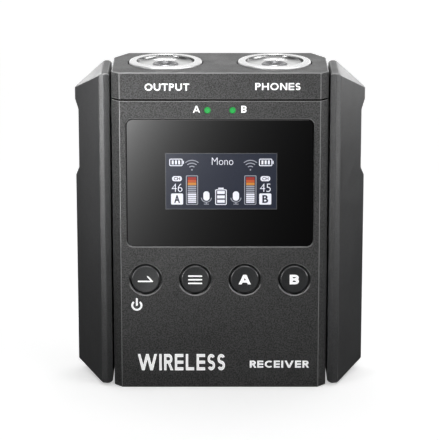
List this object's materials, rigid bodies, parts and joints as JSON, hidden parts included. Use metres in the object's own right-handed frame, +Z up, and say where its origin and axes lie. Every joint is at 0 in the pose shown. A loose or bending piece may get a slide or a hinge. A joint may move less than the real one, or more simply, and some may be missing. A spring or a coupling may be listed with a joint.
{
  "type": "wireless audio receiver",
  "caption": "Bodypack wireless audio receiver with a small display, keys, two locking 3.5 mm sockets on top and folding antenna wings at the sides.",
  "frame": {"origin": "centre of the case's base, on the surface that it stands on", "axes": "+Z up, towards the sockets; the front panel faces -Y; +X to the right as seen from the front"},
  "size_m": [0.076, 0.0332, 0.0849],
  "materials": {
    "adhesive": "adhesive film",
    "antenna_plastic": "smooth satin moulding, charcoal",
    "battery_wrap": "heat-shrink wrap",
    "board_laminate": "solder-masked laminate",
    "bush_metal": "black-nickel plated, threaded",
    "case_plastic": "fine spark-textured moulding, charcoal",
    "chip_epoxy": "moulded epoxy",
    "clip_steel": "powder-coated spring steel",
    "display_panel": "display glass",
    "flex_film": "polyimide film",
    "foam": "closed-cell foam",
    "frame_plastic": "black moulding",
    "key_plastic": "satin black",
    "lens_green": "clear green lens",
    "ring_metal": "bright turned metal",
    "screw_steel": "black-oxide steel",
    "shaft_steel": "ground steel",
    "shield_steel": "tinned steel",
    "socket_plastic": "black nylon",
    "spring_metal": "gold-plated spring bronze",
    "window_glass": "gloss black cover glass"
  },
  "bodies": {
    "case": {"front_shell": "case_plastic", "rear_shell": "case_plastic", "top_cap": "case_plastic", "display_window": "window_glass", "window_adhesive": "adhesive", "display_module": "display_panel", "display_frame": "frame_plastic", "display_flex": "flex_film", "keypad_retainer": "frame_plastic", "dome_contacts": "spring_metal", "light_pipe_a": "lens_green", "light_pipe_b": "lens_green", "status_leds": "lens_green", "main_board": "board_laminate", "board_screws": "screw_steel", "rf_shields": "shield_steel", "board_chips": "chip_epoxy", "battery_connector": "socket_plastic", "usb_port": "bush_metal", "battery_tray": "frame_plastic", "battery_cell": "battery_wrap", "battery_pad": "foam", "case_screws": "screw_steel", "clip_nut_plate": "shaft_steel", "belt_clip": "clip_steel", "clip_screws": "screw_steel", "output_jack_ring": "ring_metal", "output_jack_bush": "bush_metal", "output_jack_socket": "socket_plastic", "output_jack_contact": "spring_metal", "phones_jack_ring": "ring_metal", "phones_jack_bush": "bush_metal", "phones_jack_socket": "socket_plastic", "phones_jack_contact": "spring_metal", "left_friction_washer": "shaft_steel", "left_feed_spring": "spring_metal", "right_friction_washer": "shaft_steel", "right_feed_spring": "spring_metal"},
    "power_key": {"power_button": "key_plastic"},
    "menu_key": {"menu_button": "key_plastic"},
    "channel_a_key": {"channel_a_button": "key_plastic"},
    "channel_b_key": {"channel_b_button": "key_plastic"},
    "left_antenna": {"left_antenna_shell": "antenna_plastic", "left_antenna_cover": "antenna_plastic", "left_antenna_element": "board_laminate", "left_hinge_shaft": "shaft_steel", "left_hinge_clip": "shaft_steel"},
    "right_antenna": {"right_antenna_shell": "antenna_plastic", "right_antenna_cover": "antenna_plastic", "right_antenna_element": "board_laminate", "right_hinge_shaft": "shaft_steel", "right_hinge_clip": "shaft_steel"}
  },
  "joints": [
    {"name": "power_press", "type": "slide", "parent": "case", "child": "power_key", "axis": [0, 1, 0], "range_m": [0, 0.0004], "stiffness_N_per_m": 3000, "springref_m": -0.0001},
    {"name": "menu_press", "type": "slide", "parent": "case", "child": "menu_key", "axis": [0, 1, 0], "range_m": [0, 0.0004], "stiffness_N_per_m": 3000, "springref_m": -0.0001},
    {"name": "channel_a_press", "type": "slide", "parent": "case", "child": "channel_a_key", "axis": [0, 1, 0], "range_m": [0, 0.0004], "stiffness_N_per_m": 3000, "springref_m": -0.0001},
    {"name": "channel_b_press", "type": "slide", "parent": "case", "child": "channel_b_key", "axis": [0, 1, 0], "range_m": [0, 0.0004], "stiffness_N_per_m": 3000, "springref_m": -0.0001},
    {"name": "left_antenna_fold", "type": "hinge", "parent": "case", "child": "left_antenna", "pos_m": [-0.0282, -0.00315, 0.0718], "axis": [1, 0, 0], "range_deg": [0, 180]},
    {"name": "right_antenna_fold", "type": "hinge", "parent": "case", "child": "right_antenna", "pos_m": [0.0282, -0.00315, 0.0718], "axis": [1, 0, 0], "range_deg": [0, 180]}
  ]
}
